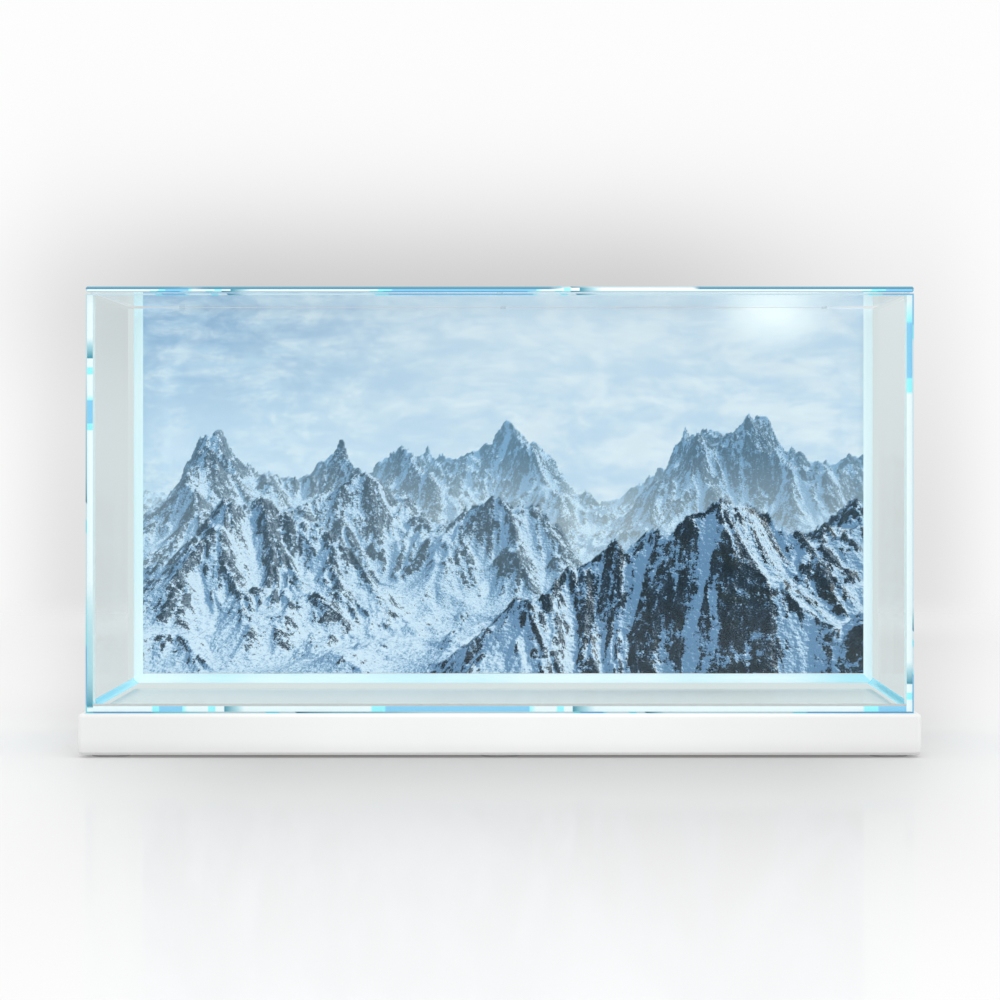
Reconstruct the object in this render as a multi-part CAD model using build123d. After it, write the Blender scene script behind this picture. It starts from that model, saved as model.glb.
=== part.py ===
"""A glass aquarium with a lift-off cover glass, standing on a low white plinth.

Millimetres. +Z is up, the front faces -Y, and the origin is the centre of the footprint on the surface
that the rubber pads stand on. Five glass panes are bonded with clear silicone: the front and back panes
run the full width, the side panes fit between them, and the base pane fits inside all four. A printed
background film is taped to the outside of the back pane. The plinth is a lacquered frame of four mitred
rails with a deck board let in flush, three ribs and four corner blocks, and a foam mat under the tank.
"""

import os

from build123d import *

# Tank
TANK_L, TANK_D, WALL_H = 600.0, 300.0, 304.0  # outside length and depth, height of the wall panes
GLASS = 5.0  # thickness of the wall panes and of the base pane
BOND = 0.6  # silicone between two panes
ARRIS = 1.2  # chamfer ground along every exposed edge
RIM_ARRIS = 0.8  # smaller chamfer on the top edges, which carry the cover
BEAD_BACK = 7.0  # width of the inner silicone fillet on the back pane
BEAD_SIDE = 4.2  # the same on the side panes and the floor
BEAD_FRONT = 1.6  # the same along the front pane
BEAD_HOLLOW = 0.36  # how far along its legs the middle of a fillet's hollow face lies, as a share

# Cover glass
COVER_T = 4.0
COVER_ARRIS = 0.9
COVER_CORNER_R = 2.0  # radius of the two front corners
COVER_CUT = 38.0  # leg of the cut at each back corner, for hoses, feeding and fingers
BUMPER_D, BUMPER_H = 4.5, 1.0
BUMPER_IN = 2.4  # middle of a bumper from the inner face of its pane

# Background film
FILM_L, FILM_T = 577.5, 0.3
FILM_LOW = 7.2  # bottom edge above the floor of the tank
FILM_OVER = 0.8  # top edge above the rim, just under the cover
TAPE_L, TAPE_W, TAPE_T = 40.0, 19.0, 0.15
TAPE_HEIGHTS = (50.0, 150.0, 250.0)  # middles of the side tapes above the tank's underside
TAPE_PLACES = (-180.0, 0.0, 180.0)  # middles of the bottom tapes along X

# Plinth
PLINTH_L, PLINTH_D, PLINTH_H = 610.0, 310.0, 30.0
PLINTH_CORNER_R = 3.2
TOP_ROUND, LOW_CHAMFER = 3.0, 2.0  # outer edges of the rails, above and below
RAIL_W = 18.0
LIP_W = 10.0  # rail beside the deck, above the rebate
MAT_T, DECK_T = 2.0, 10.0
DECK_GAP = 0.5  # round the deck and the mat
RIB_W = 30.0
RIB_PLACES = (-145.0, 0.0, 145.0)
BLOCK = 22.0  # side of a corner block
PAD_D, PAD_T = 28.0, 2.0
PAD_INSET = 22.0  # middle of a pad from the plinth's outer faces

# Wood screws
SCREW_R, SCREW_HEAD_R = 2.0, 4.0
SCREW_HEAD_H = 2.2
DECK_SCREW_L, BLOCK_SCREW_L = 25.0, 32.0
HOLE_GAP = 0.02  # between a screw and its hole
DECK_SCREW_PLACES = (-110.0, 0.0, 110.0)  # along each rib
DRIVE_R, DRIVE_DEEP = 1.3, 1.4  # hexagon socket in the head

# Heights
PLINTH_LOW = PAD_T
PLINTH_TOP = PLINTH_LOW + PLINTH_H
MAT_LOW = PLINTH_TOP - MAT_T
DECK_LOW = MAT_LOW - DECK_T
TANK_LOW = PLINTH_TOP
FLOOR = TANK_LOW + GLASS
RIM = TANK_LOW + WALL_H
COVER_LOW = RIM + BUMPER_H

# Inner faces of the tank
IN_X = TANK_L / 2 - GLASS
IN_Y = TANK_D / 2 - GLASS

BOTTOM = (Align.CENTER, Align.CENTER, Align.MIN)


def block_between(low, high):
    """A box from its lowest corner to its highest corner."""
    size = [h - l for l, h in zip(low, high)]
    return Pos(*low) * Box(*size, align=(Align.MIN, Align.MIN, Align.MIN))


def edges_at(shape, axis, place):
    """The edges of a shape that lie wholly in one plane across an axis."""
    return shape.edges().filter_by_position(axis, place, place)


# ---------------------------------------------------------------- tank panes


def front_pane():
    pane = block_between((-TANK_L / 2, -TANK_D / 2, TANK_LOW), (TANK_L / 2, -IN_Y, RIM))
    return chamfer(edges_at(pane, Axis.Y, -TANK_D / 2), ARRIS)


def back_pane():
    pane = block_between((-TANK_L / 2, IN_Y, TANK_LOW), (TANK_L / 2, TANK_D / 2, RIM))
    return chamfer(edges_at(pane, Axis.Y, TANK_D / 2), RIM_ARRIS)


def side_pane(side):
    """side is -1 for the left pane and 1 for the right one."""
    inner, outer = side * IN_X, side * TANK_L / 2
    reach = IN_Y - BOND
    pane = block_between((min(inner, outer), -reach, TANK_LOW), (max(inner, outer), reach, RIM))
    rim_edge = edges_at(pane, Axis.X, outer).filter_by_position(Axis.Z, RIM, RIM)
    return chamfer(rim_edge, RIM_ARRIS)


def base_pane():
    x, y = IN_X - BOND, IN_Y - BOND
    return block_between((-x, -y, TANK_LOW), (x, y, FLOOR))


# ---------------------------------------------------------------- silicone seams


def fillet_face(through, butt):
    """Inner fillet in the corner at the origin: its legs run along -X on the through pane's face and along
    -Y on the butt pane's face, and the side between them is hollow."""
    hollow = (-through * BEAD_HOLLOW, -butt * BEAD_HOLLOW)
    outline = Polyline((-through, 0), (0, 0), (0, -butt)) + ThreePointArc((0, -butt), hollow, (-through, 0))
    return make_face(outline)


def bond_face():
    """The layer between the butt pane's edge and the through pane's face, in the same frame."""
    return make_face(Polyline((0, 0), (GLASS, 0), (GLASS, -BOND), (0, -BOND), (0, 0)))


def upright_seam(side, end, through, butt):
    """A seam up a corner. side is -1 left or 1 right, and end is -1 front or 1 back."""
    bond = extrude(bond_face(), RIM - TANK_LOW)
    bead = Pos(0, 0, GLASS) * extrude(fillet_face(through, butt), RIM - FLOOR)
    seam = bond + bead
    if side < 0:
        seam = mirror(seam, Plane.YZ)
    if end < 0:
        seam = mirror(seam, Plane.XZ)
    return Pos(side * IN_X, end * IN_Y, TANK_LOW) * seam


def floor_seam(length, wall_leg, floor_leg):
    """A seam along the floor, lying along X against a wall whose inner face is the XZ plane. The tank is on its
    -Y side and the floor at Z = 0."""
    outline = Polyline((0, 0), (0, wall_leg)) + ThreePointArc(
        (0, wall_leg), (-floor_leg * BEAD_HOLLOW, wall_leg * BEAD_HOLLOW), (-floor_leg, 0)
    )
    outline += Polyline((-floor_leg, 0), (-BOND, 0), (-BOND, -GLASS), (0, -GLASS), (0, 0))
    profile = Plane.YZ * make_face(outline)
    return Pos(-length / 2, 0, 0) * extrude(profile, length, dir=(1, 0, 0))


def tank_seams():
    """All eight seams. The long floor seams run through, the short ones are coped to them, and the
    upright ones stand on both."""
    front = Pos(0, -IN_Y, FLOOR) * Rot(0, 0, 180) * floor_seam(2 * IN_X, BEAD_FRONT, BEAD_FRONT)
    back = Pos(0, IN_Y, FLOOR) * floor_seam(2 * IN_X, BEAD_BACK, BEAD_SIDE)
    left = Pos(-IN_X, 0, FLOOR) * Rot(0, 0, 90) * floor_seam(2 * IN_Y, BEAD_SIDE, BEAD_SIDE)
    right = Pos(IN_X, 0, FLOOR) * Rot(0, 0, -90) * floor_seam(2 * IN_Y, BEAD_SIDE, BEAD_SIDE)
    seams = {
        "seam_floor_front": front,
        "seam_floor_back": back,
        "seam_floor_left": left - front - back,
        "seam_floor_right": right - front - back,
    }
    under = list(seams.values())
    for name, side, end, through, butt in (
        ("seam_front_left", -1, -1, BEAD_FRONT, BEAD_FRONT),
        ("seam_front_right", 1, -1, BEAD_FRONT, BEAD_FRONT),
        ("seam_back_left", -1, 1, BEAD_BACK, BEAD_SIDE),
        ("seam_back_right", 1, 1, BEAD_BACK, BEAD_SIDE),
    ):
        seams[name] = upright_seam(side, end, through, butt) - under
    return seams


# ---------------------------------------------------------------- cover glass


def cover_glass():
    x, y, cut = TANK_L / 2, TANK_D / 2, COVER_CUT
    corners = [(-x, -y), (x, -y), (x, y - cut), (x - cut, y), (-x + cut, y), (-x, y - cut)]
    plate = extrude(make_face(Polyline(*corners, close=True)), COVER_T)
    front_corners = plate.edges().filter_by(Axis.Z).filter_by_position(Axis.Y, -y, -y)
    plate = fillet(front_corners, COVER_CORNER_R)
    rims = edges_at(plate, Axis.Z, 0) + edges_at(plate, Axis.Z, COVER_T)
    return Pos(0, 0, COVER_LOW) * chamfer(rims, COVER_ARRIS)


def cover_bumpers():
    """Six clear bumpers under the cover, on the rim of the front and back panes."""
    y = IN_Y + BUMPER_IN
    x_front, x_back = TANK_L / 2 - GLASS, TANK_L / 2 - COVER_CUT - GLASS
    places = [(-x_front, -y), (0, -y), (x_front, -y), (-x_back, y), (0, y), (x_back, y)]
    bumper = Cylinder(BUMPER_D / 2, BUMPER_H, align=BOTTOM)
    return Compound(children=[Pos(px, py, RIM) * bumper for px, py in places])


# ---------------------------------------------------------------- background film


def background_film():
    low, high = FLOOR + FILM_LOW, RIM + FILM_OVER
    back = TANK_D / 2
    return block_between((-FILM_L / 2, back, low), (FILM_L / 2, back + FILM_T, high))


def tape_strip():
    """A tape stuck half on the glass and half on the film, stepping over the film's edge. The edge runs
    along Z at the origin, with the film on the -X side and the glass face in the XZ plane."""
    half = TAPE_W / 2
    outline = Polyline(
        (-half, FILM_T),
        (0, FILM_T),
        (0, 0),
        (half, 0),
        (half, TAPE_T),
        (TAPE_T, TAPE_T),
        (TAPE_T, FILM_T + TAPE_T),
        (-half, FILM_T + TAPE_T),
        (-half, FILM_T),
    )
    return Pos(0, 0, -TAPE_L / 2) * extrude(make_face(outline), TAPE_L)


def film_tapes():
    """Three tapes down each side of the film and three along its bottom edge."""
    back, low = TANK_D / 2, FLOOR + FILM_LOW
    side = tape_strip()
    other_side = mirror(side, Plane.YZ)
    bottom = Rot(0, 90, 0) * side
    tapes = []
    for height in TAPE_HEIGHTS:
        tapes.append(Pos(FILM_L / 2, back, TANK_LOW + height) * side)
        tapes.append(Pos(-FILM_L / 2, back, TANK_LOW + height) * other_side)
    tapes += [Pos(x, back, low) * bottom for x in TAPE_PLACES]
    return Compound(children=tapes)


# ---------------------------------------------------------------- plinth


def plinth_blank():
    """The outside of the plinth as one block, with its rounded and chamfered edges."""
    blank = Pos(0, 0, PLINTH_LOW) * Box(PLINTH_L, PLINTH_D, PLINTH_H, align=BOTTOM)
    blank = fillet(blank.edges().filter_by(Axis.Z), PLINTH_CORNER_R)
    blank = fillet(edges_at(blank, Axis.Z, PLINTH_TOP), TOP_ROUND)
    return chamfer(edges_at(blank, Axis.Z, PLINTH_LOW), LOW_CHAMFER)


def rail_frame():
    """The four rails before they are cut apart at the mitres."""
    well = (PLINTH_L - 2 * RAIL_W, PLINTH_D - 2 * RAIL_W)
    rebate = (PLINTH_L - 2 * LIP_W, PLINTH_D - 2 * LIP_W)
    frame = plinth_blank() - Pos(0, 0, PLINTH_LOW) * Box(*well, PLINTH_H, align=BOTTOM)
    return frame - Pos(0, 0, DECK_LOW) * Box(*rebate, PLINTH_H, align=BOTTOM)


def mitre_wedge(length, depth):
    """A prism over the front rail's share of a frame of that length and depth, bounded by the mitres."""
    half_l, half_d = length / 2, depth / 2
    meeting = half_l - half_d
    outline = Polyline((-half_l, -half_d), (half_l, -half_d), (meeting, 0), (-meeting, 0), close=True)
    return extrude(make_face(outline), PLINTH_TOP + PLINTH_H)


def side_wedge(length, depth):
    """The same for the right rail."""
    half_l, half_d = length / 2, depth / 2
    outline = Polyline((half_l, -half_d), (half_l, half_d), (half_l - half_d, 0), close=True)
    return extrude(make_face(outline), PLINTH_TOP + PLINTH_H)


def rails():
    frame = rail_frame() - block_screw_holes()
    front = mitre_wedge(PLINTH_L, PLINTH_D)
    right = side_wedge(PLINTH_L, PLINTH_D)
    return {
        "rail_front": frame & front,
        "rail_back": frame & mirror(front, Plane.XZ),
        "rail_right": frame & right,
        "rail_left": frame & mirror(right, Plane.YZ),
    }


def deck_board():
    x, y = PLINTH_L / 2 - LIP_W - DECK_GAP, PLINTH_D / 2 - LIP_W - DECK_GAP
    return block_between((-x, -y, DECK_LOW), (x, y, MAT_LOW)) - deck_screw_holes()


def foam_mat():
    x, y = PLINTH_L / 2 - LIP_W - DECK_GAP, PLINTH_D / 2 - LIP_W - DECK_GAP
    return block_between((-x, -y, MAT_LOW), (x, y, PLINTH_TOP))


def rib(x):
    reach = PLINTH_D / 2 - RAIL_W
    plain = block_between((x - RIB_W / 2, -reach, PLINTH_LOW), (x + RIB_W / 2, reach, DECK_LOW))
    return plain - deck_screw_holes()


def corner_places():
    """The inner corners of the rails, as (x, y, side, end)."""
    x, y = PLINTH_L / 2 - RAIL_W, PLINTH_D / 2 - RAIL_W
    return [(side * x, end * y, side, end) for side in (-1, 1) for end in (-1, 1)]


def corner_blocks():
    blocks = []
    for x, y, side, end in corner_places():
        low = (min(x, x - side * BLOCK), min(y, y - end * BLOCK), PLINTH_LOW)
        high = (max(x, x - side * BLOCK), max(y, y - end * BLOCK), DECK_LOW)
        blocks.append(block_between(low, high) - block_screw_holes())
    return Compound(children=blocks)


def foot_pads():
    x, y = PLINTH_L / 2 - PAD_INSET, PLINTH_D / 2 - PAD_INSET
    pad = chamfer(edges_at(Cylinder(PAD_D / 2, PAD_T, align=BOTTOM), Axis.Z, 0), PAD_T / 4)
    return Compound(children=[Pos(px, py, 0) * pad for px in (-x, 0, x) for py in (-y, y)])


# ---------------------------------------------------------------- screws


def screw_body(length, gap=0.0):
    """A countersunk screw with its head's face at Z = 0, pointing down, or with a gap its hole."""
    head = Pos(0, 0, -SCREW_HEAD_H / 2) * Cone(SCREW_R + gap, SCREW_HEAD_R + gap, SCREW_HEAD_H)
    shank_l = length - SCREW_HEAD_R + gap
    shank = Pos(0, 0, -shank_l / 2) * Cylinder(SCREW_R + gap, shank_l)
    tip_l = SCREW_HEAD_R
    tip = Pos(0, 0, -shank_l - tip_l / 2) * Cone(SCREW_R / 4 + gap, SCREW_R + gap, tip_l)
    return head + shank + tip


def screw(length):
    socket = extrude(RegularPolygon(DRIVE_R, 6), -DRIVE_DEEP)
    return screw_body(length) - socket


def deck_screw_spots():
    return [Pos(x, y, MAT_LOW) for x in RIB_PLACES for y in DECK_SCREW_PLACES]


def deck_screw_holes():
    return [spot * screw_body(DECK_SCREW_L, HOLE_GAP) for spot in deck_screw_spots()]


def deck_screws():
    return Compound(children=[spot * screw(DECK_SCREW_L) for spot in deck_screw_spots()])


def block_screw_spots():
    """One screw along X and one along Y through each corner block, at two heights so that they miss."""
    spots = []
    height = (PLINTH_LOW + DECK_LOW) / 2
    for x, y, side, end in corner_places():
        along_x = Pos(x - side * BLOCK, y - end * BLOCK / 2, height + SCREW_HEAD_R) * Rot(0, -90 * side, 0)
        along_y = Pos(x - side * BLOCK / 2, y - end * BLOCK, height - SCREW_HEAD_R) * Rot(90 * end, 0, 0)
        spots += [along_x, along_y]
    return spots


def block_screw_holes():
    return [spot * screw_body(BLOCK_SCREW_L, HOLE_GAP) for spot in block_screw_spots()]


def block_screws():
    return Compound(children=[spot * screw(BLOCK_SCREW_L) for spot in block_screw_spots()])


# ---------------------------------------------------------------- all sub-parts


def sub_parts():
    parts = {
        "pane_front": front_pane(),
        "pane_back": back_pane(),
        "pane_left": side_pane(-1),
        "pane_right": side_pane(1),
        "pane_base": base_pane(),
        "cover_glass": cover_glass(),
        "cover_bumpers": cover_bumpers(),
        "background_film": background_film(),
        "film_tapes": film_tapes(),
        "deck_board": deck_board(),
        "foam_mat": foam_mat(),
        "corner_blocks": corner_blocks(),
        "foot_pads": foot_pads(),
        "deck_screws": deck_screws(),
        "block_screws": block_screws(),
    }
    parts.update(tank_seams())
    parts.update(rails())
    for name, x in zip(("rib_left", "rib_middle", "rib_right"), RIB_PLACES):
        parts[name] = rib(x)
    return parts


os.makedirs("parts", exist_ok=True)
for name, shape in sub_parts().items():
    export_step(shape, f"parts/{name}.step")
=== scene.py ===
"""Looks of the aquarium on its plinth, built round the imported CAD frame. Metres, +Z up, front towards -Y."""

import math

import bpy
import numpy as np
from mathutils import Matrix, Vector


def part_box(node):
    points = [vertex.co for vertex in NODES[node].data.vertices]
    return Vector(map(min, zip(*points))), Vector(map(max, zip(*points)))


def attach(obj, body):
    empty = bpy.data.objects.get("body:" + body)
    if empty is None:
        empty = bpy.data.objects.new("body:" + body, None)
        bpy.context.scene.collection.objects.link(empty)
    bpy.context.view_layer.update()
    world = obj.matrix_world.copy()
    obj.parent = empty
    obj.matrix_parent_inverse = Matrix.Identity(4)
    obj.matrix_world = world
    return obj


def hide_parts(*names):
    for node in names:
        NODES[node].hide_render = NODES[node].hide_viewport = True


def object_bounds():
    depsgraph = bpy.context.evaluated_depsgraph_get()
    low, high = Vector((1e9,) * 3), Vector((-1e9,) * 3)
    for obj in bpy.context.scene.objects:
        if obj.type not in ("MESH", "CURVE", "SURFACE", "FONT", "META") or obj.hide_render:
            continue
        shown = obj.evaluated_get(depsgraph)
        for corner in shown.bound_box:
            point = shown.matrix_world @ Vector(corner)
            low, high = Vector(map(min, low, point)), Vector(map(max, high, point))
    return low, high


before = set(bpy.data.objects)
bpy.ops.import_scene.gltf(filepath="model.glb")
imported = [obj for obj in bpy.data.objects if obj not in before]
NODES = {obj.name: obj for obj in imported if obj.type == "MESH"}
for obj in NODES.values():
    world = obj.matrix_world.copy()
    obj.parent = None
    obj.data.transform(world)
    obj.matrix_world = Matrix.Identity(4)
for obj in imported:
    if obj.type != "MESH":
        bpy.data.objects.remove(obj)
CAD_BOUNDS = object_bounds()

# Camera, for a picture 1000 wide with the view straight along +Y
FOCAL_MM = 140.6
SENSOR_MM = 36.0
CAMERA_RIGHT = 0.027  # of the tank's middle
CAMERA_UP = 0.187  # above the tank's underside
CAMERA_AWAY = 2.833  # from the inner face of the front pane
SHIFT_X, SHIFT_Y = -0.037, -0.045

# Print on the background film: points across and up
PRINT_COLUMNS, PRINT_ROWS = 441, 222
PRINT_GAP = 0.0001  # print behind the rear pane

# Landscape on the print, in kilometres: x to the right, y away from the viewer, z up from the eye
SEED = 11
VIEW_HALF = 0.56  # x over distance at the print's right edge
EYE_ROW = 0.585  # eye line, as a share of the print's height from the bottom
NEAR, FAR = 0.9, 19.0
DEPTH_STEPS = 1700
BASIN = -1.55  # height of the valley floor
SUN = Vector((0.72, 0.05, 0.62)).normalized()
# Mountains as (x, y, height, width)
MASSIFS = (
    (-3.0, 7.9, 1.55, 2.2),
    (-5.0, 7.9, 0.9, 1.6),
    (-1.6, 8.8, 0.95, 1.3),
    (-0.9, 10.6, 1.8, 1.8),
    (0.7, 10.4, 1.5, 1.4),
    (3.2, 9.2, 1.75, 1.9),
    (5.2, 9.8, 1.3, 1.8),
    (-7.0, 10.5, 1.3, 2.2),
    (1.05, 3.7, 0.85, 1.0),
    (1.75, 3.7, 1.0, 1.2),
    (2.7, 4.0, 0.95, 1.4),
    (-2.0, 5.0, 0.95, 1.1),
    (-1.4, 6.6, 0.95, 0.9),
    (0.1, 6.2, 0.95, 0.9),
    (0.0, 3.2, 0.55, 1.5),
)
CRAG = (1.5, 3.2)  # middle of the bare, rocky mountain
CRAG_REACH = (1.1, 1.3)
GULLY_OCTAVES = 7
GULLY_DEEP, GULLY_RATE = 0.052, 1.7  # depth in km and gullies per km of the widest ones
GULLY_SHRINK = 0.47  # depth of each kind of gully, as a share of that of the next wider kind
GULLY_FINEST = 640  # gullies per unit of direction that the print could just show
SNOW_LEAST, SNOW_MOST = -0.14, 0.32  # limits of the snow's lead over the rock, before the fine textures
HAZE_MOST, HAZE_REACH = 0.53, 10.8  # share that haze takes far away, and the distance where it gets thick
MIST_SHARE = 0.20
MIST_NEAR, MIST_TOP = 4.5, 0.1  # distance where mist starts, and its height
CELLS = 256  # cells across the noise lattice before it repeats

# Colours of the landscape, dark to light
ROCK_STOPS = (
    (0.0, (0.003, 0.008, 0.014)),
    (0.5, (0.016, 0.033, 0.056)),
    (1.0, (0.17, 0.21, 0.26)),
)
WARM_ROCK = (1.9, 1.30, 0.90)  # times the rock's own colour
SNOW_STOPS = (
    (0.0, (0.11, 0.21, 0.35)),
    (0.35, (0.30, 0.43, 0.58)),
    (1.0, (0.61, 0.68, 0.77)),
)
HAZE, MIST = (0.33, 0.55, 0.76), (0.66, 0.76, 0.84)

# Sky by share of the print's height, and its thin cloud
CLEAR_STOPS = (
    (0.60, (0.56, 0.65, 0.76)),
    (0.80, (0.34, 0.47, 0.63)),
    (1.0, (0.21, 0.35, 0.54)),
)
CLEAR_RIGHT = (0.46, 0.57, 0.70)
VEIL_LEFT, VEIL_RIGHT = (0.44, 0.57, 0.70), (0.64, 0.68, 0.74)
WISP = (0.71, 0.74, 0.78)
# Light of the sun in the sky: place across, stretch across, reach, share and colour
SUN_UP = 1.05
SUN_CORE = 0.02
SUNLIT = (
    (0.55, 0.90, 0.42, 0.34, (0.70, 0.76, 0.83)),
    (0.875, 1.7, 0.20, 1.0, (1.0, 1.0, 1.0)),
)

# Glass and silicone
# Colours of the painted light in the glass edges and the silicone
PALE = (0.86, 0.95, 0.97)
CYAN = (0.34, 0.92, 1.0)
SKY_BLUE = (0.26, 0.62, 0.88)
TEAL = (0.07, 0.30, 0.40)
TEAL_PALE = (0.42, 0.68, 0.75)
DEEP = (0.10, 0.30, 0.42)
PAINTED_ARRIS_SHADE = (0.56, 0.66, 0.70)  # painted shade on the arrises, times the edge's painted colour
FACE_TINT = (0.965, 0.984, 0.985)  # what one face of a pane lets through
PAINTED_INSIDE_GLOW = (0.75, 0.785, 0.785)  # painted glow of a pane seen along its own thickness
# Painted light: patches along the edges of the panes, as shares of one run
EDGE_STOPS = (
    (0.000, TEAL),
    (0.080, TEAL_PALE),
    (0.130, PALE),
    (0.400, PALE),
    (0.405, CYAN),
    (0.450, CYAN),
    (0.455, SKY_BLUE),
    (0.640, SKY_BLUE),
    (0.645, CYAN),
    (0.690, PALE),
    (0.860, PALE),
    (0.865, CYAN),
    (0.920, CYAN),
    (0.925, PALE),
    (0.990, PALE),
    (0.995, TEAL),
)
EDGE_RATE = 3.6  # runs of patches per metre of edge
EDGE_START = -0.127  # moves all patches along their edges
ARRIS_STEP = 0.006  # how far the arrises' patches lie from those of the edge
SIDE_STEP = 0.489  # how far the right pane's patches lie from those of the left pane
# Strength of the painted glow of the glass edges and of the silicone beads
EDGE_GLOW, BEAD_GLOW = 0.14, 0.12
TINY = 0.0002

# Plinth
PAINTED_SHADE_ENDS, PAINTED_SHADE_FOOT = 0.145, 0.08  # painted shade: how much darker the lacquer is painted there
FOOT_HEIGHT = 0.012

# Studio
WHITE_LEVEL = 0.985
# Soft shades as (middle, half size, fall, dark): in the world by slope of the view, on the floor in metres
WIDE_SHADE = ((-0.0095, -0.042), (0.106, 0.0154), (0.018, 0.069), 0.225)
TOP_SHADE = ((-0.0274, 0.0397), (0.0435, 0.0), (0.056, 0.0248), 0.275)
FLOOR_WIDE_SHADE = ((0.0, 0.9), (0.30, 0.6), (0.055, 0.60), 0.16)
FLOOR_NEAR_SHADE = ((0.02, 0.0), (0.17, 0.15), (0.11, 0.75), 0.185)
FLOOR_LEVEL = 0.89
FLOOR_SPREAD = 0.33  # how fast the wide shade widens away from the camera
FLOOR_GLOW = 0.25  # share of painted glow, which softens the shadows
FLOOR_GLOSS = 0.06
FLOOR_RADIUS, FLOOR_SOLID = 3.4, 1.3

rng = np.random.default_rng(SEED)
ANGLES = rng.uniform(0, 2 * math.pi, (CELLS, CELLS))
OFFSETS = rng.random((CELLS, CELLS, 2))
LATTICE_X, LATTICE_Y = np.cos(ANGLES), np.sin(ANGLES)


# ---------------------------------------------------------------- landscape


def fade(t):
    """Smooth step from 0 to 1 with no jump in slope."""
    return t * t * t * (t * (t * 6 - 15) + 10)


def noise(x, y):
    """Gradient noise, about -0.7 to 0.7."""
    ix, iy = np.floor(x).astype(int), np.floor(y).astype(int)
    fx, fy = x - ix, y - iy
    sx, sy = fade(fx), fade(fy)
    total = 0
    for dx in (0, 1):
        for dy in (0, 1):
            at = (iy + dy) % CELLS, (ix + dx) % CELLS
            weight = (sx if dx else 1 - sx) * (sy if dy else 1 - sy)
            total = total + weight * (LATTICE_X[at] * (fx - dx) + LATTICE_Y[at] * (fy - dy))
    return total


def ridged(x, y, octaves):
    """Ridged noise, 0 to about 1, highest along its crests."""
    total, weight, size, scale = 0, 1.0, 0.5, 1.0
    for k in range(octaves):
        n = noise(x * scale + 17.3 * k, y * scale - 9.1 * k)
        crest = np.clip(1 - np.sqrt(n * n + 0.0012) * 2.1, 0, 1) ** 2
        total = total + crest * size * weight
        weight = np.clip(crest * 1.6, 0, 1)
        size *= 0.5
        scale *= 2.1
    return total


def ripples(x, y, across_x, across_y):
    """Waves that vary along the given direction, cell by cell, and their slopes."""
    ix, iy = np.floor(x).astype(int), np.floor(y).astype(int)
    fx, fy = x - ix, y - iy
    value = slope_x = slope_y = weights = 0
    for i in (-1, 0, 1):
        for j in (-1, 0, 1):
            offset = OFFSETS[(iy + j) % CELLS, (ix + i) % CELLS]
            px, py = fx - i - offset[..., 0], fy - j - offset[..., 1]
            weight = np.exp(-2.6 * (px * px + py * py))
            phase = 2 * math.pi * (px * across_x + py * across_y)
            wave = np.sin(phase) * weight
            value = value + np.cos(phase) * weight
            slope_x = slope_x - wave * across_x
            slope_y = slope_y - wave * across_y
            weights = weights + weight
    return value / weights, slope_x / weights, slope_y / weights


def slopes(height, side, distance):
    """Slopes along x and y of heights on a grid of distance by direction."""
    along_side = np.gradient(height, side, axis=1)
    away = np.gradient(height, distance, axis=0)
    slope_x = along_side / distance[:, None]
    return slope_x, away - side[None, :] * slope_x


def mountains(x, y):
    """Heights of the range before the gullies, and how far each point is lifted off the valley."""
    bent_x = x + 0.42 * noise(x * 0.55 + 5, y * 0.55) + 0.12 * noise(x * 2.1, y * 2.1 + 8)
    bent_y = y + 0.42 * noise(x * 0.55, y * 0.55 + 31) + 0.12 * noise(x * 2.1 + 40, y * 2.1)
    lift = 0
    for middle_x, middle_y, height, width in MASSIFS:
        r = np.hypot(bent_x - middle_x, bent_y - middle_y) / width
        lift = lift + (height * np.exp(-1.1 * r**1.6)) ** 2
    lift = np.sqrt(lift)
    crests = ridged(bent_x * 0.5 + 3.7, bent_y * 0.5 + 1.3, 4)
    return BASIN + lift * (0.72 + 0.75 * crests) + 0.12 * crests, lift


def terrain(side, distance):
    """Ground on a grid of distance by direction: x, y, height and how far it stands up between gullies."""
    x, y = side[None, :] * distance[:, None], np.repeat(distance[:, None], len(side), 1)
    height, lift = mountains(x, y)
    slope_x, slope_y = slopes(height, side, distance)
    amount = np.clip((lift - 0.05) * 1.6, 0.12, 1.0)
    rib = 0
    size, rate = GULLY_DEEP, GULLY_RATE
    for k in range(GULLY_OCTAVES):
        steep = np.hypot(slope_x, slope_y) + 1e-6
        shown = np.clip((GULLY_FINEST / (rate * distance[:, None]) - 2.5) / 4, 0, 1)
        strength = np.clip(steep * 1.3, 0, 1) ** 1.5 * amount * shown
        turn = 1.25 / steep
        value, wave_x, wave_y = ripples(
            x * rate + 7.7 * k, y * rate + 3.3 * k, slope_y * turn, -slope_x * turn
        )
        height = height + value * size * strength
        slope_x = slope_x + wave_x * size * rate * 2 * math.pi * strength * 0.8
        slope_y = slope_y + wave_y * size * rate * 2 * math.pi * strength * 0.8
        rib = rib + value * 0.75**k * strength
        size *= GULLY_SHRINK
        rate *= 2.0
    return x, y, height, rib


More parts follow.
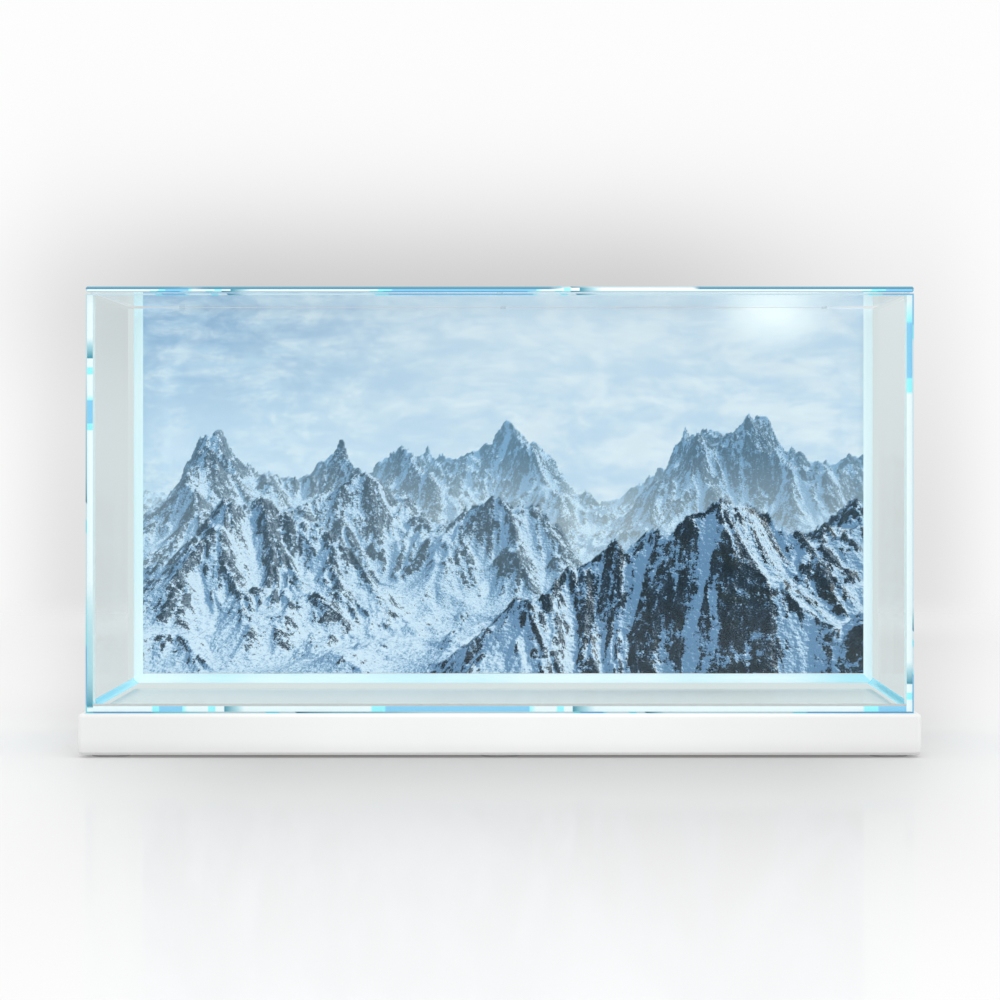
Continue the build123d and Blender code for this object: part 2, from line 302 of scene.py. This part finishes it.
def visible_ground(columns, rows, aspect):
    """What the eye sees at each point of the print, row 0 at the bottom: the ground's place, its slopes and
    ribs, and how far above the skyline the point is, as a share of the print's height."""
    side = np.linspace(-VIEW_HALF, VIEW_HALF, columns)
    distance = np.geomspace(NEAR, FAR, DEPTH_STEPS)
    x, y, height, rib = terrain(side, distance)
    slope_x, slope_y = slopes(height, side, distance)
    span = 2 * VIEW_HALF / aspect
    look = (np.linspace(0, 1, rows) - EYE_ROW) * span
    rise = height / distance[:, None]
    skyline = np.maximum.accumulate(rise, axis=0)
    fields = np.stack([x, y, height, slope_x, slope_y, rib], axis=-1)
    seen = np.zeros((rows, columns, fields.shape[-1]))
    for c in range(columns):
        k = np.clip(np.searchsorted(skyline[:, c], look), 1, len(distance) - 1)
        low, high = rise[k - 1, c], rise[k, c]
        share = np.clip((look - low) / np.maximum(high - low, 1e-9), 0, 1)[:, None]
        seen[:, c] = fields[k - 1, c] * (1 - share) + fields[k, c] * share
    above = (look[:, None] - skyline[-1][None, :]) / span
    return seen, above


def landscape(columns, rows, aspect):
    """Fields of the print for each of its points: ground as (x, y, z), relief as (light, snow, above) and air
    as (haze, bare, mist)."""
    seen, above = visible_ground(columns, rows, aspect)
    x, y, z, slope_x, slope_y, rib = np.moveaxis(seen, -1, 0)
    up = 1 / np.sqrt(1 + slope_x**2 + slope_y**2)
    light = np.clip(up * (SUN.z - slope_x * SUN.x - slope_y * SUN.y), 0, 1)
    away = np.hypot(x, y)
    bare = np.exp(-(((x - CRAG[0]) / CRAG_REACH[0]) ** 2) - ((y - CRAG[1]) / CRAG_REACH[1]) ** 2)
    snow = np.clip(0.75 * up - 0.34 * rib - 0.40 + 0.05 * bare, SNOW_LEAST, SNOW_MOST)
    haze = HAZE_MOST * (1 - np.exp(-((away / HAZE_REACH) ** 3.0)))
    mist = np.clip((away - MIST_NEAR) / 3.5, 0, 1) * np.clip(MIST_TOP - z, 0, 1)
    ground = np.stack([x, y, z], axis=-1)
    relief = np.stack([light, snow, above], axis=-1)
    air = np.stack([np.clip(haze + MIST_SHARE * mist, 0, 1), bare, mist], axis=-1)
    return ground, relief, air


# ---------------------------------------------------------------- node helpers


class Paint:
    """One material. Each method adds a node and gives its output."""

    def __init__(self, name):
        self.material = bpy.data.materials.new(name)
        self.material.use_nodes = True
        self.tree = self.material.node_tree
        self.tree.nodes.clear()
        self.out = self.tree.nodes.new("ShaderNodeOutputMaterial")

    def put(self, socket, value):
        """Links another node's output to a socket, or sets the socket's own value."""
        if isinstance(value, bpy.types.NodeSocket):
            self.tree.links.new(value, socket)
        elif socket.type == "RGBA" and len(value) == 3:
            socket.default_value = (*value, 1.0)
        else:
            socket.default_value = value

    def add(self, kind, inputs=(), out=0, **settings):
        """A node of a kind with its settings and inputs."""
        node = self.tree.nodes.new("ShaderNode" + kind)
        for name, value in settings.items():
            setattr(node, name, value)
        for key, value in dict(inputs).items():
            self.put(node.inputs[key], value)
        return node.outputs[out]

    def maths(self, operation, a, b=0.0, c=0.0, clamp=False):
        return self.add("Math", {0: a, 1: b, 2: c}, operation=operation, use_clamp=clamp)

    def vector(self, operation, a, b=(0, 0, 0), out=0):
        return self.add("VectorMath", {0: a, 1: b}, out=out, operation=operation)

    def axes(self, vector):
        """X, Y and Z of a vector."""
        node = self.tree.nodes.new("ShaderNodeSeparateXYZ")
        self.put(node.inputs[0], vector)
        return node.outputs

    def place(self):
        """Where a point lies in the object's own frame, in metres."""
        return self.add("TexCoord", out="Object")

    def scaled(self, vector, scale):
        return self.vector("MULTIPLY", vector, scale)

    def grain(self, vector, scale, detail=2.0, rough=0.5, bend=0.0):
        """Soft noise about 0.5. scale is how many of its cells lie along one unit."""
        inputs = {"Vector": vector, "Scale": scale, "Detail": detail, "Roughness": rough, "Distortion": bend}
        return self.add("TexNoise", inputs)

    def field(self, name):
        """A vector that the mesh carries at its points."""
        return self.add("Attribute", out="Vector", attribute_name=name)

    def swing(self, texture, share, value):
        """A value moved up and down by a texture that runs from 0 to 1."""
        return self.maths("MULTIPLY_ADD", self.maths("SUBTRACT", texture, 0.5), share, value)

    def between(self, value, low, high):
        """0 at low, 1 at high, smooth between and clamped."""
        inputs = {"Value": value, "From Min": low, "From Max": high}
        return self.add("MapRange", inputs, interpolation_type="SMOOTHSTEP")

    def ramp(self, value, stops):
        """Colours at places from 0 to 1."""
        node = self.tree.nodes.new("ShaderNodeValToRGB")
        self.put(node.inputs[0], value)
        points = node.color_ramp.elements
        while len(points) < len(stops):
            points.new(0.5)
        for point, (at, colour) in zip(points, sorted(stops)):
            point.position = at
            point.color = (*colour, 1.0)
        return node.outputs[0]

    def mix(self, share, a, b, blend="MIX"):
        """Colour a where share is 0 and colour b where it is 1."""
        node = self.tree.nodes.new("ShaderNodeMix")
        node.data_type = "RGBA"
        node.blend_type = blend
        self.put(node.inputs["Factor"], share)
        colours = [s for s in node.inputs if s.type == "RGBA"]
        self.put(colours[0], a)
        self.put(colours[1], b)
        return [s for s in node.outputs if s.type == "RGBA"][0]

    def bump(self, height, strength, deep):
        return self.add("Bump", {"Height": height, "Strength": strength, "Distance": deep})

    def solid(self, colour, rough, **more):
        """Principled surface. Further inputs are named with _ for each space."""
        inputs = {"Base Color": colour, "Roughness": rough}
        inputs.update({k.replace("_", " "): v for k, v in more.items()})
        return self.add("BsdfPrincipled", inputs)

    def either(self, share, a, b):
        """Surface a where share is 0 and surface b where it is 1."""
        return self.add("MixShader", {0: share, 1: a, 2: b})

    def done(self, shader):
        self.put(self.out.inputs["Surface"], shader)
        return self.material


def dress(material, *names):
    """Puts one material on every slot of the named CAD nodes."""
    for name in names:
        mesh = NODES[name].data
        mesh.materials.clear()
        mesh.materials.append(material)


# ---------------------------------------------------------------- glass and silicone


def edge_colour(p, axis, arris):
    """Painted light: hard-edged patches of white, cyan, blue and teal along the edges of a pane that lies
    across an axis.
    """
    along = EDGE_START
    for k, place in enumerate(p.axes(p.place())):
        if k == axis:
            along = p.maths("MULTIPLY_ADD", p.maths("GREATER_THAN", place, 0.0), SIDE_STEP, along)
        else:
            along = p.maths("ADD", place, along)
    along = p.maths("MULTIPLY_ADD", arris, ARRIS_STEP, along)
    wander = p.add("TexNoise", {"W": along, "Scale": 5.0, "Detail": 1.0}, noise_dimensions="1D")
    runs = p.maths("MULTIPLY_ADD", wander, 1.6, p.maths("MULTIPLY", along, EDGE_RATE))
    patch = p.maths("FRACT", runs)
    return p.ramp(patch, EDGE_STOPS)


def edge_shader(p, axis, deep_above=None):
    """Polished edge with painted light: patches and a painted glow stand in for what its pane gathers. Its
    arrises are darker with painted shade, and from inside it shows a painted pale glow. Above the height
    deep_above, where one is given, most of the edge is painted a deep blue."""
    normal = p.axes(p.vector("ABSOLUTE", p.add("TexCoord", out="Normal")))
    flat = p.maths("MAXIMUM", p.maths("MAXIMUM", normal[0], normal[1]), normal[2])
    arris = p.between(flat, 0.97, 0.90)
    colour = edge_colour(p, axis, arris)
    # Painted shade: the arrises are darkened.
    colour = p.mix(arris, colour, p.mix(1.0, colour, PAINTED_ARRIS_SHADE, "MULTIPLY"))
    if deep_above is not None:
        x, y, z = p.axes(p.place())
        run = p.add("TexNoise", {"W": p.maths("ADD", x, y), "Scale": 7.0}, noise_dimensions="1D")
        deep = p.maths("MULTIPLY", p.between(run, 0.40, 0.46), p.maths("GREATER_THAN", z, deep_above))
        colour = p.mix(deep, colour, DEEP)
    polished_painted_glow = p.solid(colour, 0.12, Emission_Color=colour, Emission_Strength=EDGE_GLOW)
    return p.either(p.add("NewGeometry", out="Backfacing"), polished_painted_glow, inside_glow(p))


def inside_glow(p):
    """Painted glow: even pale light of a pane seen along its own thickness."""
    inputs = {"Emission_Color": PAINTED_INSIDE_GLOW, "Emission_Strength": 1.0, "Specular_IOR_Level": 0.0}
    return p.solid((0.0, 0.0, 0.0), 1.0, **inputs)


def clear_face(p, near, far):
    """See-through face: it mirrors the share near when seen square on, and far at a grazing angle."""
    facing = p.add("LayerWeight", {"Blend": 0.5}, out="Facing")
    mirrored = p.maths("MULTIPLY_ADD", p.maths("POWER", facing, 4.0), far - near, near)
    through = p.add("BsdfTransparent", {"Color": FACE_TINT})
    mirror = p.add("BsdfGlossy", {"Color": (0.95, 0.98, 1.0), "Roughness": 0.02})
    return p.either(mirrored, through, mirror)


def pane_glass(name, axis, near=0.008, far=0.04, rim=1.0, deep_above=None):
    """Glass of a pane whose broad faces lie across an axis (0, 1 or 2). rim is how far its top edge shows.
    near and far are as for clear_face, and deep_above as for edge_shader."""
    p = Paint(name)
    normal = p.axes(p.vector("ABSOLUTE", p.add("TexCoord", out="Normal")))
    broad = p.maths("GREATER_THAN", normal[axis], 0.95)
    if rim < 1:
        top = p.maths("MULTIPLY", p.maths("GREATER_THAN", normal[2], 0.3), 1 - rim)
        broad = p.maths("MAXIMUM", broad, top)
    return p.done(p.either(broad, edge_shader(p, axis, deep_above), clear_face(p, near, far)))


def between_panes(p):
    """1 where the silicone is outside the room inside the tank, between two panes' faces."""
    x, _, z = p.axes(p.place())
    beside = p.maths("GREATER_THAN", p.maths("ABSOLUTE", x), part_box("pane_right")[0].x + TINY)
    below = p.maths("LESS_THAN", z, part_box("pane_base")[1].z - TINY)
    return p.maths("MAXIMUM", beside, below)


def silicone(name, low, high):
    """Clear silicone, painted in long soft stretches between two colours and given a painted glow, for the
    light the glass gathers, with the tooling marks of a finger. What lies between two panes has the same
    painted pale glow as the panes from inside."""
    p = Paint(name)
    value = p.between(p.grain(p.place(), 5.0, 2.0, 0.5), 0.30, 0.70)
    colour = p.mix(value, low, high)
    waves = p.grain(p.place(), 160.0, 2.0, 0.5)
    bump = p.bump(waves, 0.15, 0.0004)
    # Painted glow and colour of the bead, for the light the glass gathers
    bead = p.solid(colour, 0.22, Emission_Color=colour, Emission_Strength=BEAD_GLOW, Normal=bump)
    return p.done(p.either(between_panes(p), bead, inside_glow(p)))


def bonded_edge(name, axis, low, high):
    """Silicone between a pane's edge, which shows through it with its painted light, and the front pane, with
    a pale inner bead.
    """
    p = Paint(name)
    ripple = p.grain(p.place(), 200.0, 2.0, 0.5)
    colour = p.mix(ripple, low, high)
    bead = p.solid(colour, 0.2, Normal=p.bump(ripple, 0.1, 0.0003))
    return p.done(p.either(between_panes(p), bead, edge_shader(p, axis)))


# ---------------------------------------------------------------- print


def print_paint():
    """The landscape, coloured from the fields that the sheet carries, with a painted glow that brightens it.
    """
    p = Paint("landscape_print")
    ground = p.field("ground")
    light, snow, above = p.axes(p.field("relief"))
    haze, bare, mist = p.axes(p.field("air"))
    stretched = p.scaled(ground, (1.0, 1.0, 1.6))
    broad = p.grain(ground, 7.0, 4.0, 0.55)
    middle = p.grain(stretched, 34.0, 5.0, 0.6)
    fine = p.grain(stretched, 130.0, 4.0, 0.65)
    gullies = p.grain(p.scaled(ground, (1.0, 1.0, 0.28)), 26.0, 6.0, 0.62, 0.35)

    cover = snow
    for texture, share in ((broad, 0.60), (gullies, 1.10), (middle, 0.90), (fine, 0.80)):
        cover = p.swing(texture, share, cover)
    sunward = p.vector("ADD", stretched, tuple(0.006 * s for s in SUN))
    slant = p.maths("SUBTRACT", p.grain(sunward, 34.0, 5.0, 0.6), middle)
    lit = p.between(p.maths("MULTIPLY_ADD", slant, -3.4, light, clamp=True), 0.10, 0.95)

    rock = rock_colour(p, lit, bare, broad, gullies, fine)
    land = p.mix(p.between(cover, -0.045, 0.045), rock, p.ramp(lit, SNOW_STOPS))
    land = p.mix(haze, land, p.mix(mist, HAZE, MIST))
    colour = p.mix(p.between(above, -0.0012, 0.0022), land, sky_colour(p))
    # Painted glow: the print emits a little light so that it reads brighter.
    print_sheen_and_painted_glow = {"Specular_IOR_Level": 0.3, "Emission_Color": colour, "Emission_Strength": 0.4}
    return p.done(p.solid(colour, 0.42, **print_sheen_and_painted_glow))


def rock_colour(p, lit, bare, broad, gullies, fine):
    """Dark rock, warmer in places on the bare mountain."""
    shade = p.maths("MULTIPLY_ADD", lit, 0.70, 0.24)
    shade = p.swing(gullies, 1.9, shade)
    shade = p.swing(fine, 2.4, shade)
    rock = p.ramp(shade, ROCK_STOPS)
    warm = p.maths("MULTIPLY", p.between(broad, 0.42, 0.62), bare)
    return p.mix(warm, rock, p.mix(1.0, rock, WARM_ROCK, "MULTIPLY"))


def sky_colour(p):
    """Thin cloud over pale blue, with the sun behind it at the upper right."""
    low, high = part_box("background_film")
    size = high - low
    across, _, up = p.axes(p.place())
    across = p.maths("MULTIPLY_ADD", across, 1 / size.x, -low.x / size.x)
    up = p.maths("MULTIPLY_ADD", up, 1 / size.z, -low.z / size.z)
    at = p.add("CombineXYZ", {0: p.maths("MULTIPLY", across, 3.4), 1: p.maths("MULTIPLY", up, 3.6)})
    bend = p.grain(at, 1.3, 3.0, 0.55)
    pull = p.add("CombineXYZ", {0: p.maths("MULTIPLY", bend, 0.5), 1: p.maths("MULTIPLY", bend, 0.2)})
    at = p.vector("ADD", at, pull)
    cloud = p.between(p.grain(at, 2.8, 14.0, 0.66), 0.38, 0.62)
    wisps = p.between(p.grain(at, 6.0, 12.0, 0.72), 0.42, 0.60)
    rightward = p.between(across, 0.0, 0.60)
    clear = p.mix(rightward, p.ramp(up, CLEAR_STOPS), CLEAR_RIGHT)
    veil = p.mix(rightward, VEIL_LEFT, VEIL_RIGHT)
    veil = p.mix(p.maths("MULTIPLY", wisps, 0.65), veil, WISP)
    sky = p.mix(p.maths("MULTIPLY_ADD", cloud, 0.80, 0.15), clear, veil)
    above = p.maths("SUBTRACT", up, SUN_UP)
    for centre, stretch, reach, share, light in SUNLIT:
        aside = p.maths("MULTIPLY", p.maths("SUBTRACT", across, centre), stretch)
        far = p.maths("SQRT", p.maths("MULTIPLY_ADD", aside, aside, p.maths("MULTIPLY", above, above)))
        sky = p.mix(p.maths("MULTIPLY", p.between(far, reach, SUN_CORE), share), sky, light)
    return sky


def sheet_mesh(low, high, columns, rows):
    """A closed sheet: its front is a grid of points, row 0 at the bottom, its back is one face."""
    front = low.y + PRINT_GAP
    xs, zs = np.linspace(low.x, high.x, columns), np.linspace(low.z, high.z, rows)
    points = [(x, front, z) for z in zs for x in xs]
    faces = []
    for r in range(rows - 1):
        for c in range(columns - 1):
            a = r * columns + c
            faces.append((a, a + 1, a + columns + 1, a + columns))
    bottom = list(range(columns))
    right = [r * columns + columns - 1 for r in range(1, rows)]
    top = [(rows - 1) * columns + c for c in range(columns - 2, -1, -1)]
    left = [r * columns for r in range(rows - 2, 0, -1)]
    rim = bottom + right + top + left
    start, count = len(points), len(rim)
    points += [(points[i][0], high.y, points[i][2]) for i in rim]
    for k in range(count):
        n = (k + 1) % count
        faces.append((rim[k], start + k, start + n, rim[n]))
    faces.append(tuple(range(start + count - 1, start - 1, -1)))
    mesh = bpy.data.meshes.new("background_print")
    mesh.from_pydata(points, [], faces)
    mesh.update()
    return mesh


def store(mesh, name, field):
    """Keeps a field of vectors on the mesh's first points, with zeros on the rest."""
    values = np.zeros((len(mesh.vertices), 3), np.float32)
    values[: field.shape[0] * field.shape[1]] = field.reshape(-1, 3)
    attribute = mesh.attributes.new(name, "FLOAT_VECTOR", "POINT")
    attribute.data.foreach_set("vector", values.ravel())


def background_print():
    """The film as a thin closed sheet whose front carries the landscape's fields at its points."""
    low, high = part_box("background_film")
    columns, rows = PRINT_COLUMNS, PRINT_ROWS
    mesh = sheet_mesh(low, high, columns, rows)
    fields = landscape(columns, rows, (high.x - low.x) / (high.z - low.z))
    for name, field in zip(("ground", "relief", "air"), fields):
        store(mesh, name, field)
    mesh.materials.append(print_paint())
    mesh.materials.append(film_back_paint())
    printed = (columns - 1) * (rows - 1)
    mesh.polygons.foreach_set("material_index", [int(i >= printed) for i in range(len(mesh.polygons))])
    sheet = bpy.data.objects.new("background_print", mesh)
    bpy.context.scene.collection.objects.link(sheet)
    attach(sheet, "tank")
    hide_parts("background_film")


def film_back_paint():
    """White back of the film, with faint fibres."""
    p = Paint("film_back")
    fibres = p.grain(p.scaled(p.place(), (1.0, 1.0, 0.25)), 900.0, 3.0, 0.6)
    colour = p.ramp(fibres, ((0.3, (0.80, 0.81, 0.81)), (0.7, (0.87, 0.88, 0.88))))
    return p.done(p.solid(colour, 0.5, Normal=p.bump(fibres, 0.2, 0.0002)))


# ---------------------------------------------------------------- plinth


def lacquer():
    """Satin white lacquer with a faint orange peel, and painted shade: a little greyer towards its ends and
    its lower edge.
    """
    p = Paint("white_lacquer")
    peel = p.grain(p.place(), 320.0, 2.0, 0.5)
    cloud = p.grain(p.place(), 6.0, 3.0, 0.6)
    colour = p.ramp(cloud, ((0.3, (0.945, 0.955, 0.950)), (0.7, (0.970, 0.975, 0.972))))
    # Painted shade: the lacquer is darkened towards its ends and towards its lower edge.
    x, _, z = p.axes(p.place())
    ends = p.between(p.maths("ABSOLUTE", x), 0.08, 0.33)
    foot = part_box("rail_front")[0].z
    low_down = p.between(z, foot + FOOT_HEIGHT, foot + 0.001)
    grey = p.maths("MULTIPLY_ADD", low_down, PAINTED_SHADE_FOOT, p.maths("MULTIPLY", ends, PAINTED_SHADE_ENDS))
    colour = p.mix(grey, colour, (0.0, 0.0, 0.0))
    rough = p.maths("MULTIPLY_ADD", peel, 0.10, 0.28)
    return p.done(p.solid(colour, rough, Normal=p.bump(peel, 0.12, 0.0002)))


def fibreboard():
    """Raw edge and face of a board of pressed fibres."""
    p = Paint("fibreboard")
    chips = p.grain(p.place(), 700.0, 5.0, 0.7)
    cloud = p.grain(p.place(), 12.0, 2.0, 0.5)
    colour = p.ramp(p.mix(0.3, chips, cloud), ((0.3, (0.24, 0.16, 0.09)), (0.7, (0.42, 0.30, 0.18))))
    return p.done(p.solid(colour, 0.8, Normal=p.bump(chips, 0.35, 0.0003)))


def softwood(name, along):
    """Planed pine with its grain along an axis (0, 1 or 2)."""
    p = Paint(name)
    stretch = [14.0, 14.0, 14.0]
    stretch[along] = 0.8
    at = p.scaled(p.place(), tuple(stretch))
    rings = p.grain(at, 6.0, 3.0, 0.5, 1.2)
    bands = p.maths("FRACT", p.maths("MULTIPLY", rings, 9.0))
    fibres = p.grain(p.scaled(at, (8.0, 8.0, 8.0)), 6.0, 4.0, 0.6)
    stops = ((0.0, (0.50, 0.34, 0.17)), (0.7, (0.62, 0.45, 0.25)), (1.0, (0.36, 0.21, 0.09)))
    colour = p.ramp(bands, stops)
    colour = p.mix(p.maths("MULTIPLY", fibres, 0.35), colour, (0.33, 0.2, 0.1))
    return p.done(p.solid(colour, 0.62, Normal=p.bump(fibres, 0.25, 0.0003)))


def foam():
    """White closed-cell foam."""
    p = Paint("foam")
    cells = p.add("TexVoronoi", {"Vector": p.place(), "Scale": 900.0}, out="Distance")
    colour = p.ramp(cells, ((0.0, (0.87, 0.84, 0.82)), (0.6, (0.96, 0.93, 0.91))))
    return p.done(p.solid(colour, 0.85, Normal=p.bump(cells, 0.4, 0.0003)))


def rubber():
    """Matt grey rubber with a fine grit."""
    p = Paint("pad_rubber")
    grit = p.grain(p.place(), 1400.0, 3.0, 0.6)
    colour = p.ramp(grit, ((0.3, (0.42, 0.42, 0.42)), (0.7, (0.52, 0.52, 0.52))))
    return p.done(p.solid(colour, 0.8, Normal=p.bump(grit, 0.4, 0.0002)))


def zinc():
    """Zinc-plated steel with a faint spangle."""
    p = Paint("zinc_steel")
    spangle = p.grain(p.place(), 900.0, 3.0, 0.6)
    colour = p.ramp(spangle, ((0.3, (0.50, 0.49, 0.43)), (0.7, (0.68, 0.67, 0.62))))
    rough = p.maths("MULTIPLY_ADD", spangle, 0.25, 0.2)
    return p.done(p.solid(colour, rough, Metallic=1.0))


def soft_clear(name, colour, share, rough):
    """Clear tape or soft plastic: part see-through, part milky."""
    p = Paint(name)
    streaks = p.grain(p.place(), 300.0, 3.0, 0.6)
    tinted = p.mix(streaks, colour, tuple(0.93 * c for c in colour))
    milky = p.solid(tinted, rough)
    clear = p.add("BsdfTransparent", {"Color": (0.97, 0.98, 0.98)})
    return p.done(p.either(share, clear, milky))


# ---------------------------------------------------------------- studio


def halo(p, across, up, middle, half, fall, dark):
    """Soft dark patch round a rectangle: how much light it takes away. middle, half and fall are pairs."""
    far = 0.0
    for place, at, wide, soft in zip((across, up), middle, half, fall):
        beyond = p.maths("SUBTRACT", p.maths("ABSOLUTE", p.maths("SUBTRACT", place, at)), wide)
        beyond = p.maths("DIVIDE", p.maths("MAXIMUM", beyond, 0.0), soft)
        far = p.maths("MULTIPLY_ADD", beyond, beyond, far)
    return p.maths("MULTIPLY", p.maths("POWER", math.e, p.maths("MULTIPLY", far, -1.0)), dark)


class WorldPaint(Paint):
    """The same helpers for the world."""

    def __init__(self):
        self.material = bpy.data.worlds.new("studio")
        bpy.context.scene.world = self.material
        self.material.use_nodes = True
        self.tree = self.material.node_tree
        self.tree.nodes.clear()
        self.out = self.tree.nodes.new("ShaderNodeOutputWorld")


def studio_world():
    """Even white light, a painted soft shade behind the object, and less light from the camera's side."""
    p = WorldPaint()
    right, away, up = p.axes(p.add("TexCoord", out="Generated"))
    forward = p.maths("MAXIMUM", away, 0.05)
    across, height = p.maths("DIVIDE", right, forward), p.maths("DIVIDE", up, forward)
    # Painted shade: a soft grey patch behind the object.
    wide = halo(p, across, height, *WIDE_SHADE)
    top = halo(p, across, height, *TOP_SHADE)
    grey = p.maths("SUBTRACT", p.maths("SUBTRACT", WHITE_LEVEL, wide), top)
    ahead = p.between(away, 0.2, 0.6)
    seen = p.maths("MULTIPLY_ADD", ahead, p.maths("SUBTRACT", grey, WHITE_LEVEL), WHITE_LEVEL)
    level_view = p.between(p.maths("ABSOLUTE", up), 0.25, 0.12)
    behind_camera = p.maths("MULTIPLY", p.between(away, -0.2, -0.8), level_view)
    lit = p.maths("MULTIPLY_ADD", behind_camera, -0.88, seen)
    mirrored = p.add("LightPath", out="Is Glossy Ray")
    level = p.add("Mix", {"Factor": mirrored, "A": seen, "B": lit}, data_type="FLOAT")
    background = p.add("Background", {"Color": p.add("CombineColor", {0: level, 1: level, 2: level})})
    p.done(background)


def studio_floor():
    """Round pale floor that melts into the world at its rim, with painted shade making it a little greyer near
    the object.
    """
    mesh = bpy.data.meshes.new("studio_floor")
    rings, spokes = 24, 96
    points, faces = [(0.0, 0.0, 0.0)], []
    for r in range(1, rings + 1):
        for s in range(spokes):
            turn = 2 * math.pi * s / spokes
            radius = FLOOR_RADIUS * r / rings
            points.append((radius * math.cos(turn), radius * math.sin(turn), 0.0))
    for s in range(spokes):
        n = (s + 1) % spokes
        faces.append((0, 1 + s, 1 + n))
        for r in range(rings - 1):
            a, b = 1 + r * spokes, 1 + (r + 1) * spokes
            faces.append((a + s, b + s, b + n, a + n))
    mesh.from_pydata(points, [], faces)
    mesh.materials.append(floor_paint())
    floor = bpy.data.objects.new("studio_floor", mesh)
    floor.location.z = CAD_BOUNDS[0].z
    bpy.context.scene.collection.objects.link(floor)


def floor_paint():
    """Pale satin floor with a painted glow, greyer with painted shade behind and round the object, clear
    towards its rim.
    """
    p = Paint("studio_floor")
    at = p.place()
    x, y, _ = p.axes(at)
    spread = p.maths("MAXIMUM", p.maths("MULTIPLY_ADD", y, FLOOR_SPREAD, 1.0), 0.5)
    # Painted shadows: a wide shade behind the object and a near one round it.
    wide = halo(p, p.maths("DIVIDE", x, spread), y, *FLOOR_WIDE_SHADE)
    near = halo(p, x, y, *FLOOR_NEAR_SHADE)
    level = p.maths("SUBTRACT", p.maths("SUBTRACT", FLOOR_LEVEL, wide), near)
    colour = p.add("CombineColor", {0: level, 1: level, 2: level})
    # Painted glow: part of the floor emits light to soften its shadows.
    glow = p.add("Emission", {"Color": colour})
    matt_and_painted_glow = p.either(FLOOR_GLOW, p.add("BsdfDiffuse", {"Color": colour}), glow)
    gloss = p.add("BsdfGlossy", {"Color": (1.0, 1.0, 1.0), "Roughness": 0.06})
    surface = p.either(FLOOR_GLOSS, matt_and_painted_glow, gloss)
    away = p.vector("LENGTH", at, out="Value")
    rim = p.between(away, FLOOR_SOLID, FLOOR_RADIUS * 0.97)
    return p.done(p.either(rim, surface, p.add("BsdfTransparent")))


def soft_light(name, at, towards, width, height, watts):
    """A broad lamp that glass and lacquer don't mirror."""
    data = bpy.data.lights.new(name, "AREA")
    data.shape = "RECTANGLE"
    data.size, data.size_y = width, height
    data.energy = watts
    lamp = bpy.data.objects.new(name, data)
    lamp.location = at
    lamp.rotation_euler = (Vector(towards) - Vector(at)).to_track_quat("-Z", "Y").to_euler()
    lamp.visible_glossy = False
    bpy.context.scene.collection.objects.link(lamp)


def studio_lights():
    soft_light("key", (0.9, -1.9, 2.2), (0, 0, 0.15), 1.6, 1.2, 8)
    soft_light("front", (0.2, -3.2, 0.30), (0, 0, 0.10), 1.6, 0.3, 10)
    soft_light("top", (0, 0.2, 2.6), (0, 0, 0.1), 1.8, 1.2, 4)


def camera():
    """Camera in front of the tank, level, with its sensor shifted down and to the left."""
    data = bpy.data.cameras.new("camera")
    data.lens, data.sensor_width = FOCAL_MM, SENSOR_MM
    data.shift_x, data.shift_y = SHIFT_X, SHIFT_Y
    data.clip_end = 50
    front_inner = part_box("pane_front")[1].y
    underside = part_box("pane_front")[0].z
    eye = bpy.data.objects.new("camera", data)
    eye.location = (CAMERA_RIGHT, front_inner - CAMERA_AWAY, underside + CAMERA_UP)
    eye.rotation_euler = (math.pi / 2, 0, 0)
    bpy.context.scene.collection.objects.link(eye)
    bpy.context.scene.camera = eye


def render_settings():
    scene = bpy.context.scene
    scene.view_settings.view_transform = "Standard"
    scene.view_settings.look = "None"
    scene.cycles.transparent_max_bounces = 32
    scene.cycles.max_bounces = 10
    scene.cycles.caustics_reflective = False
    scene.cycles.caustics_refractive = False
    scene.cycles.use_denoising = True


# ---------------------------------------------------------------- everything

background_print()
cover_low, cover_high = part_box("cover_glass")
cover_paint = pane_glass("glass_cover", 2, near=0.03, far=1.05, deep_above=(cover_low.z + cover_high.z) / 2)
dress(pane_glass("glass_front", 1), "pane_front")
dress(pane_glass("glass_back", 1, rim=0.0), "pane_back")
dress(pane_glass("glass_sides", 0, rim=0.3), "pane_left", "pane_right")
dress(pane_glass("glass_base", 2), "pane_base")
dress(cover_paint, "cover_glass")
# The silicone beads' colours below are painted light, for the light the glass gathers
dress(silicone("silicone_back_left", (0.60, 0.91, 0.96), (0.84, 0.95, 0.97)), "seam_back_left")
dress(silicone("silicone_back_right", (0.80, 0.94, 0.97), (0.95, 0.975, 0.985)), "seam_back_right")
dress(silicone("silicone_floor_back", (0.40, 0.78, 0.88), (0.82, 0.93, 0.96)), "seam_floor_back")
side_bead = silicone("silicone_side", (0.21, 0.74, 0.92), (0.31, 0.80, 0.94))
dress(side_bead, "seam_floor_left", "seam_floor_right")
front_bead = bonded_edge("silicone_front", 0, (0.66, 0.80, 0.82), (0.78, 0.90, 0.92))
dress(front_bead, "seam_front_left", "seam_front_right")
dress(bonded_edge("silicone_floor_front", 2, (0.60, 0.60, 0.60), (0.68, 0.68, 0.68)), "seam_floor_front")
dress(soft_clear("bumper_clear", (0.88, 0.94, 0.95), 0.10, 0.3), "cover_bumpers")
dress(soft_clear("tape_clear", (0.90, 0.89, 0.82), 0.45, 0.25), "film_tapes")
dress(lacquer(), "rail_front", "rail_back", "rail_left", "rail_right")
dress(fibreboard(), "deck_board")
dress(softwood("pine_ribs", 1), "rib_left", "rib_middle", "rib_right")
dress(softwood("pine_blocks", 2), "corner_blocks")
dress(foam(), "foam_mat")
dress(rubber(), "foot_pads")
dress(zinc(), "deck_screws", "block_screws")
studio_world()
studio_floor()
studio_lights()
camera()
render_settings()
